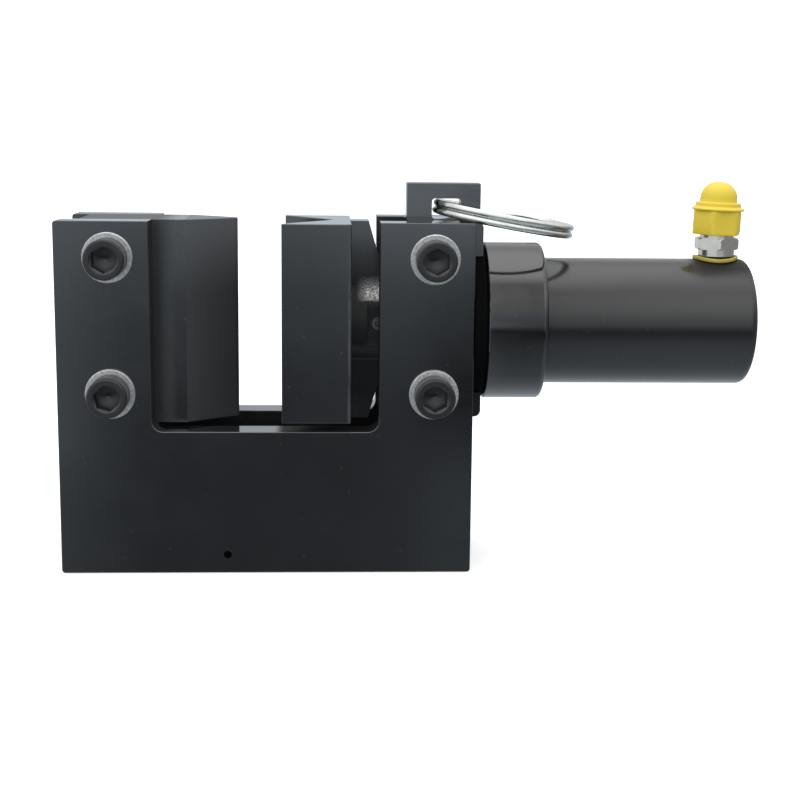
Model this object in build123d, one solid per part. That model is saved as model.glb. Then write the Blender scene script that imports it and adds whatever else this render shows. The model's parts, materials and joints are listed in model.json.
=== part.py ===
from build123d import *
import os
from math import acos, atan2, cos, hypot, pi, radians, sin, sqrt

# Hydraulic busbar bender, in millimetres: +X towards the cylinder, +Y away from the viewer, +Z up.
# Zero is the centre of the underside, midway between the two side plates.

# Both tools along X, the opening between them at rest, and the ram's travel
punch_reach = 19.7
punch_wedge = 33.55
bar_opening = 25.05
die_depth = 41.7
die_setback = 17
stroke = 50

# Side plates, with a window as wide as the tools and their opening
plate_height = 214.5
plate_thickness = 20
plate_gap = 52
left_arm_width = 56
right_arm_width = 57
window_floor = 88
window_corner = 7
plate_corner = 2
plate_edge = 0.4
window_width = punch_reach + punch_wedge + bar_opening + die_depth + die_setback
plate_width = left_arm_width + window_width + right_arm_width
plate_right = plate_width / 2
plate_left = -plate_right
window_left = plate_left + left_arm_width
window_right = plate_right - right_arm_width
inner_face = plate_gap / 2
outer_face = inner_face + plate_thickness

# Cylinder line, halfway up the window, and its round sizes from the rod outwards
axis_height = (window_floor + plate_height) / 2
bush_land = 2.5
bush_wall = 3.5
spring_wire = 2.5
spring_clearance = 1.25
barrel_wall = 12
spigot_step = 1.5
collar_wall = 8
bush_radius = inner_face - bush_land
rod_radius = bush_radius - bush_wall
bore_radius = rod_radius + 2 * (spring_wire + spring_clearance)
barrel_radius = bore_radius + barrel_wall
spigot_radius = barrel_radius + spigot_step
collar_radius = spigot_radius + collar_wall

# Base spacer and its pin
spacer_length = 180
spacer_height = 23
pin_x = -24
pin_z = spacer_height / 2
pin_radius = 2.5
pin_recess = 8

# Cap screws and washers, two to each side of each arm, with each socket's turn for the low and high screw
screw_radius = 8
screw_clearance = 0.5
screw_head_radius = 12
screw_head_height = 16
screw_head_edge = 1.2
socket_flats = 14
socket_depth = 9
socket_mouth = 8.4
socket_mouth_depth = 1.4
punch_screw_turns = (44, 29)
head_screw_turns = (28, 33)
washer_radius = 15
washer_thickness = 3
washer_edge = 0.5
thread_reach = 20
thread_spare = 3
screw_low = window_floor + 23.5
screw_high = plate_height - 21.5
punch_screw_x = plate_left + 32
head_screw_x = plate_right - 24

# Fixed punch
punch_back = plate_left + 12
punch_shoulder = window_left + punch_reach
punch_apex = punch_shoulder + punch_wedge
punch_nose_radius = 5
punch_shoulder_radius = 1.2
punch_low = window_floor + 2
punch_edge = 0.4

# Ram die
die_web = 10
die_back = window_right - die_setback
die_mouth = die_back - die_depth
die_apex = die_back - die_web
die_half = outer_face + 1
die_low = window_floor + 5.4
die_high = plate_height - 1
die_lip = 3
die_apex_radius = 6
die_corner = 0.8
die_edge = 0.4
rib_half = 10
rib_low = die_low - 3
rib_end_depth = 11.1
rib_depth = 17.6
rib_slant = 22.5
boss_clearance = 1
boss_radius = inner_face - boss_clearance
boss_length = 29
boss_edge = 1
boss_end = die_back + boss_length
boss_flat_depth = 4
boss_flat_length = 19
boss_flat = boss_radius - boss_flat_depth

# Piston rod and ram set screw
rod_nose_step = 7
rod_nose_radius = rod_radius - rod_nose_step
rod_nose_length = 31
rod_nose_spare = 1
set_screw_x = boss_end - 12
set_screw_radius = 4
set_screw_sunk = 0.8
set_screw_flats = 4
set_screw_socket = 3.5

# Head block with lug and spigot, and a round pocket where the collar comes up to it
head_left = boss_end + 5.4
head_right = plate_right + 6.5
head_low = window_floor + 6
head_corner = 4
lug_half = 9
lug_edge = 0.6
lug_right = head_right - 0.5
lug_top = plate_height + 22.5
slot_left = head_left + 15.5
slot_right = slot_left + 18
slot_low = plate_height + 0.5
slot_high = lug_top - 9.6
slot_corner = 2
pocket_floor = plate_right + 0.5
pocket_clearance = 0.6
pocket_radius = collar_radius + pocket_clearance
collar_start = head_right + 1
spigot_neck_wall = 25.2
spigot_neck_radius = bush_radius + spigot_neck_wall
spigot_end = collar_start + 19.5
bush_start = head_left + 8.6
running_clearance = 0.04
rod_relief = 0.5
wiper_start = head_left + 2
wiper_width = 4
wiper_wall = 4
seal_inset = 4.5
seal_radius = bore_radius + seal_inset
seal_section = 1.5
seal_groove_spare = 0.1

# Piston and return spring
spring_turns = 8
spring_end_gap = 0.2
spring_spare = 3
spring_room = stroke + 2 * spring_wire * (spring_turns + 1) + spring_spare
piston_start = spigot_end + spring_room
piston_length = 20
piston_end = piston_start + piston_length
piston_clearance = 0.05
piston_radius = bore_radius - piston_clearance
piston_neck_step = 6
piston_neck_radius = rod_radius - piston_neck_step
nut_wall = 6.5
nut_flats = 2 * (piston_neck_radius + nut_wall)
nut_height = 9
piston_neck_end = piston_end + nut_height + 2
seal_offset = 4
seal_width = 6
seal_depth = 4
wear_offset = 13
wear_width = 5
wear_depth = 2

# Collar and barrel
collar_end = collar_start + 37.5
collar_edge = 3
collar_face_edge = 2
barrel_edge = 5
bore_end = piston_neck_end + 6
barrel_end = bore_end + 13.5
crown = axis_height + barrel_radius

# Oil coupler, standing on a spot face of the barrel's crown
coupler_x = bore_end - 5.6
spot_face_radius = 10.9
spot_face_depth = 2.3
spot_face_z = crown - spot_face_depth
port_radius = 6.6
port_web = 1.7
port_depth = barrel_wall - spot_face_depth - port_web
port_drill = 3
stem_spare = 0.5
coupler_seal_radius = 10.4
coupler_seal_thickness = 2
seat_z = spot_face_z + coupler_seal_thickness
neck_radius = 11.2
neck_foot_radius = 9.6
neck_cone = 2.4
hex_low = crown + 6.2
hex_high = hex_low + 7.3
hex_flats = 25
hex_turn = 27.2
hex_edge = 1.4
hex_edge_reach = hex_flats / sqrt(3) + 0.2
shoulder_radius = 10.5
shoulder_top = hex_high + 3.4
nipple_step = 0.5
nipple_radius = shoulder_radius - nipple_step
groove_depth = 1.4
groove_radius = nipple_radius - groove_depth
groove_top = shoulder_top + 3
nipple_top = groove_top + 10
nipple_edge = 1

# Valve inside the coupler
chamber_radius = 4.6
chamber_top = nipple_top - 8
mouth_seat = 1.4
mouth_radius = chamber_radius - mouth_seat
clip_low = hex_low + 0.4
clip_thickness = 1.2
clip_hole = 1.8
poppet_clearance = 0.3
poppet_radius = chamber_radius - poppet_clearance
poppet_low = chamber_top - 4
poppet_gap = 0.3
stem_clearance = 1
stem_radius = mouth_radius - stem_clearance
stem_top = nipple_top - 0.8
poppet_edge = 0.8
poppet_spring_wire = 0.45
poppet_spring_inset = 1.4
poppet_spring_radius = chamber_radius - poppet_spring_inset
poppet_spring_turns = 5
poppet_spring_gap = 0.1

# Tether ring and dust cap
tether_clearance = 0.7
tether_width = 2.2
tether_inner = neck_radius + tether_clearance
tether_outer = tether_inner + tether_width
tether_shift = -0.5
tether_thickness = 2.4
tether_edge = 0.7
tether_rest = 0.05
cap_low = hex_high + 1.8
skirt_top = cap_low + 14.9
cap_clearance = 0.5
cap_wall = 2.8
cap_bore = shoulder_radius + cap_clearance
skirt_flats = 2 * (cap_bore + cap_wall)
skirt_turn = 7.5
skirt_corner = 3
lip_radius = 16.2
lip_top = skirt_top + 2.9
lip_edge = 1.2
bead_radius = 14
bead_top = lip_top + 2.4
bead_edge = 0.9
dome_radius = 11.5
dome_top = bead_top + 12.8
dome_round = 10.4
cap_headroom = 2.5
cap_bore_top = nipple_top + cap_headroom

# Carry ring of two turns, hung to one side of its pivot in the lug's slot and resting on the plates' corners
ring_radius = 42.4
ring_wire = 2
ring_layer_gap = 0.5
ring_rest = 0.25
ring_pivot_x = slot_left + 6.4
ring_pivot_z = slot_high - 4.95
ring_hang = 3
ring_left = ring_pivot_x - ring_hang
ring_cross_at = 90
ring_cross_span = 44
ring_end_gap = 1.5


def block(x_span, y_span, z_span):
    """Box between two limits on each axis."""
    size = [high - low for low, high in (x_span, y_span, z_span)]
    middle = [(high + low) / 2 for low, high in (x_span, y_span, z_span)]
    return Pos(*middle) * Box(*size)


def bar_x(radius, x_low, x_high, z=axis_height):
    """Round bar lying along X on the middle plane."""
    return Pos((x_low + x_high) / 2, 0, z) * Rot(0, 90, 0) * Cylinder(radius, x_high - x_low)


def bar_y(radius, y_low, y_high, x, z):
    """Round bar lying along Y."""
    return Pos(x, (y_low + y_high) / 2, z) * Rot(90, 0, 0) * Cylinder(radius, y_high - y_low)


def bar_z(radius, z_low, z_high, x=coupler_x):
    """Round bar standing on the middle plane."""
    return Pos(x, 0, (z_low + z_high) / 2) * Cylinder(radius, z_high - z_low)


def hex_z(flats, z_low, z_high, turn):
    """Hexagonal bar standing on the coupler's axis, turned about it by some degrees."""
    outline = RegularPolygon(flats / 2, 6, major_radius=False, rotation=turn)
    return Pos(coupler_x, 0, z_low) * extrude(outline, z_high - z_low)


def side_view(outline, y_low, y_high):
    """Outline drawn in X and Z, given its thickness along Y."""
    plane = Plane((0, y_high, 0), x_dir=(1, 0, 0), z_dir=(0, -1, 0))
    return extrude(plane * outline, y_high - y_low)


def top_view(outline, z_low, z_high):
    """Outline drawn in X and Y, given its height along Z."""
    return extrude(Plane((0, 0, z_low)) * outline, z_high - z_low)


def corners(face, x=None, y=None):
    """Corners of a flat outline at some first or second coordinate."""
    def at(value, wanted):
        return wanted is None or abs(abs(value) - abs(wanted)) < 1e-6
    return [v for v in face.vertices() if at(v.X, x) and at(v.Y, y)]


def biarc_path(place, heading, stations):
    """Path of tangent arcs, two for each span, through a curve's places and headings."""
    edges = []
    for low, high in zip(stations, stations[1:]):
        start, end = place(low), place(high)
        out, into = heading(low), heading(high)
        chord = end - start
        along = chord.dot(out + into)
        turn = 2 * (1 - out.dot(into))
        reach = (sqrt(along**2 + turn * chord.dot(chord)) - along) / turn
        first_knee = start + out * reach
        second_knee = end - into * reach
        middle = (first_knee + second_knee) * 0.5
        edges.append(Edge.make_tangent_arc(start, out, middle))
        edges.append(Edge.make_tangent_arc(middle, second_knee - first_knee, end))
    return Wire(edges)


def wound_tube(place, heading, stations, wire):
    """Round wire swept along a wound curve."""
    section = Plane(place(stations[0]), z_dir=heading(stations[0])) * Circle(wire)
    return sweep(section, path=biarc_path(place, heading, stations))


def report_self_gap(name, place, first, last, turn, wire):
    """Print the least gap between wires of neighbouring turns, measured on points."""
    count = 240
    values = [first + (last - first) * i / count for i in range(count + 1)]
    points = [place(value) for value in values]
    gaps = []
    for i, value in enumerate(values):
        for j in range(i):
            if value - values[j] > turn / 4:
                gaps.append((points[i] - points[j]).length)
    print(name, "least gap to itself", round(min(gaps) - 2 * wire, 2), "mm")


def side_plate(y_low, y_high):
    """U-shaped plate with rounded window corners, screw holes and the pin's hole."""
    points = [
        (plate_left, 0),
        (plate_right, 0),
        (plate_right, plate_height),
        (window_right, plate_height),
        (window_right, window_floor),
        (window_left, window_floor),
        (window_left, plate_height),
        (plate_left, plate_height),
    ]
    outline = make_face(Polyline(*points, close=True))
    outline = fillet(corners(outline, y=window_floor), window_corner)
    outline = fillet(corners(outline, x=plate_right), plate_corner)
    plate = side_view(outline, y_low, y_high)
    rims = plate.faces().sort_by(Axis.Y)
    plate = chamfer(rims[0].outer_wire().edges() + rims[-1].outer_wire().edges(), plate_edge)
    for x in (punch_screw_x, head_screw_x):
        for z in (screw_low, screw_high):
            plate -= bar_y(screw_radius + screw_clearance, y_low, y_high, x, z)
    return plate - bar_y(pin_radius, y_low, y_high, pin_x, pin_z)


def base_spacer():
    """Bar that keeps the plates apart at the bottom."""
    half = spacer_length / 2
    bar = block((-half, half), (-inner_face, inner_face), (0, spacer_height))
    bar = chamfer(bar.edges().filter_by(Axis.Y), plate_edge)
    return bar - bar_y(pin_radius, -inner_face, inner_face, pin_x, pin_z)


def base_pin():
    """Pin through both plates and the spacer, a little below the plates' faces."""
    end = outer_face - pin_recess
    return bar_y(pin_radius, -end, end, pin_x, pin_z)


def cap_screw():
    """Socket head cap screw standing on its seat at zero, head up."""
    length = washer_thickness + plate_thickness + thread_reach
    head = Pos(0, 0, screw_head_height / 2) * Cylinder(screw_head_radius, screw_head_height)
    head = fillet(head.edges().sort_by(Axis.Z)[-1:], screw_head_edge)
    socket = extrude(RegularPolygon(socket_flats / 2, 6, major_radius=False), socket_depth)
    head -= Pos(0, 0, screw_head_height - socket_depth) * socket
    mouth = Cone(socket_mouth - socket_mouth_depth, socket_mouth, socket_mouth_depth)
    head -= Pos(0, 0, screw_head_height - socket_mouth_depth / 2) * mouth
    return head + Pos(0, 0, -length / 2) * Cylinder(screw_radius, length)


def washer():
    """Flat washer lying on zero."""
    middle = washer_thickness / 2
    ring = Pos(0, 0, middle) * Cylinder(washer_radius, washer_thickness)
    ring = chamfer(ring.edges().filter_by(GeomType.CIRCLE), washer_edge)
    return ring - Pos(0, 0, middle) * Cylinder(screw_radius + screw_clearance, washer_thickness)


def on_both_sides(piece, x, seat, turns=(0, 0)):
    """One piece at each of the four screw places on one arm, turned and facing outwards."""
    placed = []
    for side in (-1, 1):
        for z, turn in zip((screw_low, screw_high), turns):
            face = Plane((x, side * (outer_face + seat), z), x_dir=(1, 0, 0), z_dir=(0, side, 0))
            placed.append(face * Rot(0, 0, turn) * piece)
    return Compound(children=placed)


def screw_threads(x):
    """Blind holes from both sides for the screws of one arm."""
    depth = thread_reach + thread_spare
    holes = []
    for z in (screw_low, screw_high):
        holes.append(bar_y(screw_radius, -inner_face, depth - inner_face, x, z))
        holes.append(bar_y(screw_radius, inner_face - depth, inner_face, x, z))
    return holes


def fixed_punch():
    """Block that fills the gap between the plates, ending in a wedge with a rounded nose."""
    points = [
        (punch_back, -inner_face),
        (punch_shoulder, -inner_face),
        (punch_apex, 0),
        (punch_shoulder, inner_face),
        (punch_back, inner_face),
    ]
    outline = make_face(Polyline(*points, close=True))
    outline = fillet(corners(outline, x=punch_apex), punch_nose_radius)
    outline = fillet(corners(outline, x=punch_shoulder), punch_shoulder_radius)
    punch = top_view(outline, punch_low, plate_height)
    levels = punch.faces().sort_by(Axis.Z)
    punch = chamfer(levels[0].edges() + levels[-1].edges(), punch_edge)
    return punch - screw_threads(punch_screw_x)


def ram_die():
    """V die with its rib and its boss, which is bored for the rod's nose and flattened for the set screw."""
    flank = die_half - die_lip
    points = [
        (die_mouth, -die_half),
        (die_back, -die_half),
        (die_back, die_half),
        (die_mouth, die_half),
        (die_mouth, flank),
        (die_apex, 0),
        (die_mouth, -flank),
    ]
    outline = make_face(Polyline(*points, close=True))
    outline = fillet(corners(outline, x=die_apex), die_apex_radius)
    outline = fillet(corners(outline, x=die_back), die_corner)
    die = top_view(outline, die_low, die_high)
    levels = die.faces().sort_by(Axis.Z)
    die = chamfer(levels[0].edges() + levels[-1].edges(), die_edge)
    rib_points = [
        (die_back, rib_low),
        (die_back + rib_end_depth, rib_low),
        (die_back + rib_depth, rib_low + rib_slant),
        (die_back + rib_depth, die_high - rib_slant),
        (die_back + rib_end_depth, die_high),
        (die_back, die_high),
    ]
    die += side_view(make_face(Polyline(*rib_points, close=True)), -rib_half, rib_half)
    boss = bar_x(boss_radius, die_back, boss_end)
    die += chamfer(boss.edges().sort_by(Axis.X)[-1:], boss_edge)
    die -= block(
        (boss_end - boss_flat_length, boss_end),
        (-boss_radius, -boss_flat),
        (axis_height - boss_radius, axis_height + boss_radius),
    )
    die -= bar_x(rod_nose_radius, boss_end - rod_nose_length - rod_nose_spare, boss_end)
    return die - bar_y(set_screw_radius, -boss_flat, -rod_nose_radius, set_screw_x, axis_height)


def ram_set_screw():
    """Grub screw against the rod's nose, with a hex socket."""
    top = boss_flat - set_screw_sunk
    length = top - rod_nose_radius
    screw = Pos(0, 0, length / 2) * Cylinder(set_screw_radius, length)
    socket = extrude(RegularPolygon(set_screw_flats / 2, 6, major_radius=False), set_screw_socket)
    screw -= Pos(0, 0, length - set_screw_socket) * socket
    seat = Plane((set_screw_x, -rod_nose_radius, axis_height), x_dir=(1, 0, 0), z_dir=(0, -1, 0))
    return seat * screw


def piston_rod():
    """Rod with a nose for the die and a neck for the piston."""
    rod = bar_x(rod_radius, boss_end, piston_start)
    rod += bar_x(rod_nose_radius, boss_end - rod_nose_length, boss_end)
    return rod + bar_x(piston_neck_radius, piston_start, piston_neck_end)


def ring_slot():
    """Rounded opening through the lug for the carry ring."""
    outline = RectangleRounded(slot_right - slot_left, slot_high - slot_low, slot_corner)
    middle = Pos((slot_left + slot_right) / 2, (slot_low + slot_high) / 2)
    return side_view(middle * outline, -lug_half, lug_half)


def head_block():
    """Block between the right arms with the ring's lug above, and a necked spigot out of a round pocket."""
    head = block((head_left, head_right), (-inner_face, inner_face), (head_low, plate_height))
    head = fillet(head.faces().sort_by(Axis.X)[-1].edges().filter_by(Axis.Y), head_corner)
    lug = block((head_left, lug_right), (-lug_half, lug_half), (plate_height - head_corner, lug_top))
    lug = chamfer(lug.faces().sort_by(Axis.Z)[-1].edges(), lug_edge)
    head += lug - ring_slot()
    head -= bar_x(pocket_radius, pocket_floor, head_right)
    head += bar_x(spigot_neck_radius, pocket_floor, collar_start)
    head += bar_x(spigot_radius, collar_start, spigot_end)
    head -= bar_x(rod_radius + rod_relief, head_left, spigot_end)
    head -= bar_x(bush_radius, bush_start, spigot_end)
    head -= bar_x(rod_radius + wiper_wall, wiper_start, wiper_start + wiper_width)
    head -= seal_groove()
    return head - screw_threads(head_screw_x)


def seal_groove():
    """Ring-shaped groove in the spigot's end face."""
    half_width = seal_section + seal_groove_spare
    start = spigot_end - 2 * seal_section
    groove = bar_x(seal_radius + half_width, start, spigot_end)
    return groove - bar_x(seal_radius - half_width, start, spigot_end)


def barrel_seal():
    """O-ring in the spigot's groove, against the barrel's end."""
    return Pos(spigot_end - seal_section, 0, axis_height) * Rot(0, 90, 0) * Torus(seal_radius, seal_section)


def rod_bush():
    """Guide bush of the rod, flush with the spigot's end."""
    bush = bar_x(bush_radius, bush_start, spigot_end)
    return bush - bar_x(rod_radius + running_clearance, bush_start, spigot_end)


def rod_wiper():
    """Wiper ring in its groove near the rod's way out."""
    end = wiper_start + wiper_width
    wiper = bar_x(rod_radius + wiper_wall, wiper_start, end)
    return wiper - bar_x(rod_radius + running_clearance, wiper_start, end)


def coupling_collar():
    """Sleeve threaded on the spigot at one end and on the barrel at the other."""
    collar = bar_x(collar_radius, collar_start, collar_end)
    rims = collar.edges().filter_by(GeomType.CIRCLE).sort_by(Axis.X)
    collar = chamfer(rims[:1], collar_face_edge)
    collar = fillet(collar.edges().filter_by(GeomType.CIRCLE).sort_by(Axis.X)[-1:], collar_edge)
    collar -= bar_x(spigot_radius, collar_start, spigot_end)
    return collar - bar_x(barrel_radius, spigot_end, collar_end)


def cylinder_barrel():
    """Barrel with a closed end, a spot face on its crown and the oil port."""
    barrel = bar_x(barrel_radius, spigot_end, barrel_end)
    barrel = fillet(barrel.edges().filter_by(GeomType.CIRCLE).sort_by(Axis.X)[-1:], barrel_edge)
    barrel -= bar_x(bore_radius, spigot_end, bore_end)
    barrel -= bar_z(spot_face_radius, spot_face_z, crown)
    barrel -= bar_z(port_radius, spot_face_z - port_depth, spot_face_z)
    return barrel - bar_z(port_drill, axis_height, spot_face_z)


def ring_on_piston(offset, width, depth):
    """Ring that fills one of the piston's grooves."""
    start = piston_start + offset
    ring = bar_x(piston_radius, start, start + width)
    return ring - bar_x(piston_radius - depth, start, start + width)


def piston_seal():
    """Seal in the piston's deep groove."""
    return ring_on_piston(seal_offset, seal_width, seal_depth)


def piston_wear_ring():
    """Guide ring in the piston's shallow groove."""
    return ring_on_piston(wear_offset, wear_width, wear_depth)


def piston():
    """Piston with two grooves, bored for the rod's neck."""
    body = bar_x(piston_radius, piston_start, piston_end)
    body -= piston_seal()
    body -= piston_wear_ring()
    return body - bar_x(piston_neck_radius, piston_start, piston_end)


def piston_nut():
    """Hex nut on the rod's neck."""
    outline = RegularPolygon(nut_flats / 2, 6, major_radius=False)
    seat = Plane((piston_end, 0, axis_height), x_dir=(0, 1, 0), z_dir=(1, 0, 0))
    nut = extrude(seat * outline, nut_height)
    return nut - bar_x(piston_neck_radius, piston_end, piston_end + nut_height)


def return_spring():
    """Coil spring on the rod between the head and the piston."""
    radius = (rod_radius + bore_radius) / 2
    first = spigot_end + spring_wire + spring_end_gap
    last = piston_start - spring_wire - spring_end_gap
    pitch = (last - first) / spring_turns

    def place(turns):
        angle = 2 * pi * turns
        return Vector(first + pitch * turns, radius * cos(angle), axis_height + radius * sin(angle))

    def heading(turns):
        angle = 2 * pi * turns
        return Vector(pitch, -2 * pi * radius * sin(angle), 2 * pi * radius * cos(angle)).normalized()

    stations = [quarter / 4 for quarter in range(4 * spring_turns + 1)]
    report_self_gap("return_spring", place, 0, spring_turns, 1, spring_wire)
    return wound_tube(place, heading, stations, spring_wire)


def coupler_spring():
    """Small coil spring between the clip and the poppet."""
    first = clip_low + clip_thickness + poppet_spring_wire + poppet_spring_gap
    last = poppet_low - poppet_spring_wire - poppet_spring_gap
    pitch = (last - first) / poppet_spring_turns
    radius = poppet_spring_radius

    def place(turns):
        angle = 2 * pi * turns
        return Vector(coupler_x + radius * cos(angle), radius * sin(angle), first + pitch * turns)

    def heading(turns):
        angle = 2 * pi * turns
        return Vector(-2 * pi * radius * sin(angle), 2 * pi * radius * cos(angle), pitch).normalized()

    stations = [quarter / 4 for quarter in range(4 * poppet_spring_turns + 1)]
    report_self_gap("coupler_spring", place, 0, poppet_spring_turns, 1, poppet_spring_wire)
    return wound_tube(place, heading, stations, poppet_spring_wire)


def ring_droop():
    """Angle at which the hung ring lies on the plates' rounded top corners."""
    along = plate_right - plate_corner - ring_left
    down = ring_pivot_z - plate_height + plate_corner
    below_middle = 2 * ring_wire + ring_layer_gap / 2 + ring_rest
    return acos((below_middle + plate_corner) / hypot(along, down)) - atan2(along, down)


def carry_ring():
    """Split ring: one turn, a short crossing, and a second turn lying on the first."""
    droop = ring_droop()
    away = Vector(cos(droop), 0, -sin(droop))
    across = Vector(0, 1, 0)
    upward = Vector(sin(droop), 0, cos(droop))
    centre = Vector(ring_left, 0, ring_pivot_z) + away * ring_radius
    layer = 2 * ring_wire + ring_layer_gap
    cross_start = ring_cross_at + 360 - ring_cross_span / 2
    cross_end = cross_start + ring_cross_span
    end_margin = (ring_end_gap + 2 * ring_wire) / ring_radius * 180 / pi
    first = cross_end - 360 + end_margin
    last = cross_start + 360 - end_margin

    def climb(angle):
        share = min(max((angle - cross_start) / ring_cross_span, 0), 1)
        return share * share * (3 - 2 * share), 6 * share * (1 - share) / ring_cross_span

    def place(angle):
        turn = radians(angle)
        height = layer * (climb(angle)[0] - 0.5)
        return centre + (across * sin(turn) - away * cos(turn)) * ring_radius + upward * height

    def heading(angle):
        turn = radians(angle)
        rise = layer * climb(angle)[1] * 180 / pi
        return ((across * cos(turn) + away * sin(turn)) * ring_radius + upward * rise).normalized()

    def spread(low, high, count):
        return [low + (high - low) * i / count for i in range(count)]

    stations = spread(first, cross_start, 4) + spread(cross_start, cross_end, 4) + spread(cross_end, last, 4)
    report_self_gap("carry_ring", place, first, last, 360, ring_wire)
    return wound_tube(place, heading, stations + [last], ring_wire)


def coupler_seal():
    """Sealing washer between the spot face and the nipple."""
    return bar_z(coupler_seal_radius, spot_face_z, seat_z) - bar_z(port_radius, spot_face_z, seat_z)


def coupler_body():
    """Nipple with its stem, hex, catch groove and the valve's chamber."""
    stem_low = spot_face_z - port_depth + stem_spare
    body = bar_z(port_radius, stem_low, seat_z)
    body += Pos(coupler_x, 0, seat_z + neck_cone / 2) * Cone(neck_foot_radius, neck_radius, neck_cone)
    body += bar_z(neck_radius, seat_z + neck_cone, hex_low)
    hexagon = hex_z(hex_flats, hex_low, hex_high, hex_turn)
    bevel = bar_z(hex_edge_reach, hex_low, hex_high)
    body += hexagon & chamfer(bevel.edges().filter_by(GeomType.CIRCLE), hex_edge)
    body += bar_z(shoulder_radius, hex_high, shoulder_top)
    body += bar_z(groove_radius, shoulder_top, groove_top)
    nipple = bar_z(nipple_radius, groove_top, nipple_top)
    body += chamfer(nipple.edges().sort_by(Axis.Z)[-1:], nipple_edge)
    body -= bar_z(chamber_radius, stem_low, chamber_top)
    return body - bar_z(mouth_radius, chamber_top, nipple_top)


def coupler_clip():
    """Ring pressed into the chamber under the valve's spring."""
    high = clip_low + clip_thickness
    return bar_z(chamber_radius, clip_low, high) - bar_z(clip_hole, clip_low, high)


def coupler_poppet():
    """Valve with a head under the chamber's roof and a stem through the mouth."""
    head_top = chamber_top - poppet_gap
    poppet = bar_z(poppet_radius, poppet_low, head_top)
    stem = bar_z(stem_radius, head_top, stem_top)
    return poppet + fillet(stem.edges().sort_by(Axis.Z)[-1:], poppet_edge)


def tether_ring():
    """Flat ring lying loose round the nipple's foot."""
    low = crown + tether_rest
    high = low + tether_thickness
    x = coupler_x + tether_shift
    ring = bar_z(tether_outer, low, high, x)
    ring = fillet(ring.edges().filter_by(GeomType.CIRCLE), tether_edge)
    return ring - bar_z(tether_inner, low, high, x)


def dust_cap():
    """Cap with a six-sided skirt, a lip, a bead and a domed top."""
    outline = RegularPolygon(skirt_flats / 2, 6, major_radius=False, rotation=skirt_turn)
    outline = fillet(outline.vertices(), skirt_corner)
    cap = Pos(coupler_x, 0, cap_low) * extrude(outline, skirt_top - cap_low)
    lip = bar_z(lip_radius, skirt_top, lip_top)
    cap += fillet(lip.edges().filter_by(GeomType.CIRCLE), lip_edge)
    bead = bar_z(bead_radius, lip_top, bead_top)
    cap += fillet(bead.edges().sort_by(Axis.Z)[-1:], bead_edge)
    dome = bar_z(dome_radius, bead_top, dome_top)
    cap += fillet(dome.edges().sort_by(Axis.Z)[-1:], dome_round)
    return cap - bar_z(cap_bore, cap_low, cap_bore_top)


nodes = {
    "front_side_plate": side_plate(-outer_face, -inner_face),
    "rear_side_plate": side_plate(inner_face, outer_face),
    "base_spacer": base_spacer(),
    "base_pin": base_pin(),
    "fixed_punch": fixed_punch(),
    "punch_screws": on_both_sides(cap_screw(), punch_screw_x, washer_thickness, punch_screw_turns),
    "punch_washers": on_both_sides(washer(), punch_screw_x, 0),
    "head_block": head_block(),
    "head_screws": on_both_sides(cap_screw(), head_screw_x, washer_thickness, head_screw_turns),
    "head_washers": on_both_sides(washer(), head_screw_x, 0),
    "rod_bush": rod_bush(),
    "rod_wiper": rod_wiper(),
    "barrel_seal": barrel_seal(),
    "coupling_collar": coupling_collar(),
    "cylinder_barrel": cylinder_barrel(),
    "ram_die": ram_die(),
    "ram_set_screw": ram_set_screw(),
    "piston_rod": piston_rod(),
    "piston": piston(),
    "piston_seal": piston_seal(),
    "piston_wear_ring": piston_wear_ring(),
    "piston_nut": piston_nut(),
    "return_spring": return_spring(),
    "carry_ring": carry_ring(),
    "coupler_seal": coupler_seal(),
    "coupler_body": coupler_body(),
    "coupler_clip": coupler_clip(),
    "coupler_spring": coupler_spring(),
    "coupler_poppet": coupler_poppet(),
    "tether_ring": tether_ring(),
    "dust_cap": dust_cap(),
}

os.makedirs("parts", exist_ok=True)
for name, shape in nodes.items():
    export_step(shape, f"parts/{name}.step")
    print(name, len(shape.solids()), "solid", round(shape.volume), "mm3")
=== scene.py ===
import json
from math import acos, atan2, cos, hypot, pi, radians, sin, sqrt, tan

import bpy
from mathutils import Matrix, Vector


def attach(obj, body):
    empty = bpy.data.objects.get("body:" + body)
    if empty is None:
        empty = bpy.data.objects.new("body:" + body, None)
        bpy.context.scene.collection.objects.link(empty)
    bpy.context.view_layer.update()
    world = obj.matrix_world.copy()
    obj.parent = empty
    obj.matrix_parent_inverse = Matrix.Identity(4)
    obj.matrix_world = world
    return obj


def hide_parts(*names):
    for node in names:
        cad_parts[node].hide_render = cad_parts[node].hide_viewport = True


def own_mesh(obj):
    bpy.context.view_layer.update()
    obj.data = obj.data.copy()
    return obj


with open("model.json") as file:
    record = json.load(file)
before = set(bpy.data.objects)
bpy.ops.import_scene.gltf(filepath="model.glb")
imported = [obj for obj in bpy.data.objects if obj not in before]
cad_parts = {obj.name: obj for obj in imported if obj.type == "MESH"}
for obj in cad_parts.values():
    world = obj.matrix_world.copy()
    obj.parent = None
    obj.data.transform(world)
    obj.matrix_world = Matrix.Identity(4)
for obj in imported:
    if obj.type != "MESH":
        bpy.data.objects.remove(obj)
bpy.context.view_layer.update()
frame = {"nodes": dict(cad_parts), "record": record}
nodes = frame["nodes"]

# Camera, from the photograph's fitted view
camera_place = Vector((0.0371, -0.9516, 0.2703))
camera_lens_mm = 68.5
camera_sensor_mm = 36.0
camera_yaw = radians(2.753)
camera_pitch = radians(10.152)
camera_roll = radians(0.61)

# Studio: brightness of the room by the sine of the height angle
floor_half = 6.0
floor_drop = 0.0004
floor_glow = 0.5
sky_strength = 2.05
cool_tint = (0.90, 1.0, 1.10)
cool_below = 0.2

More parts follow.
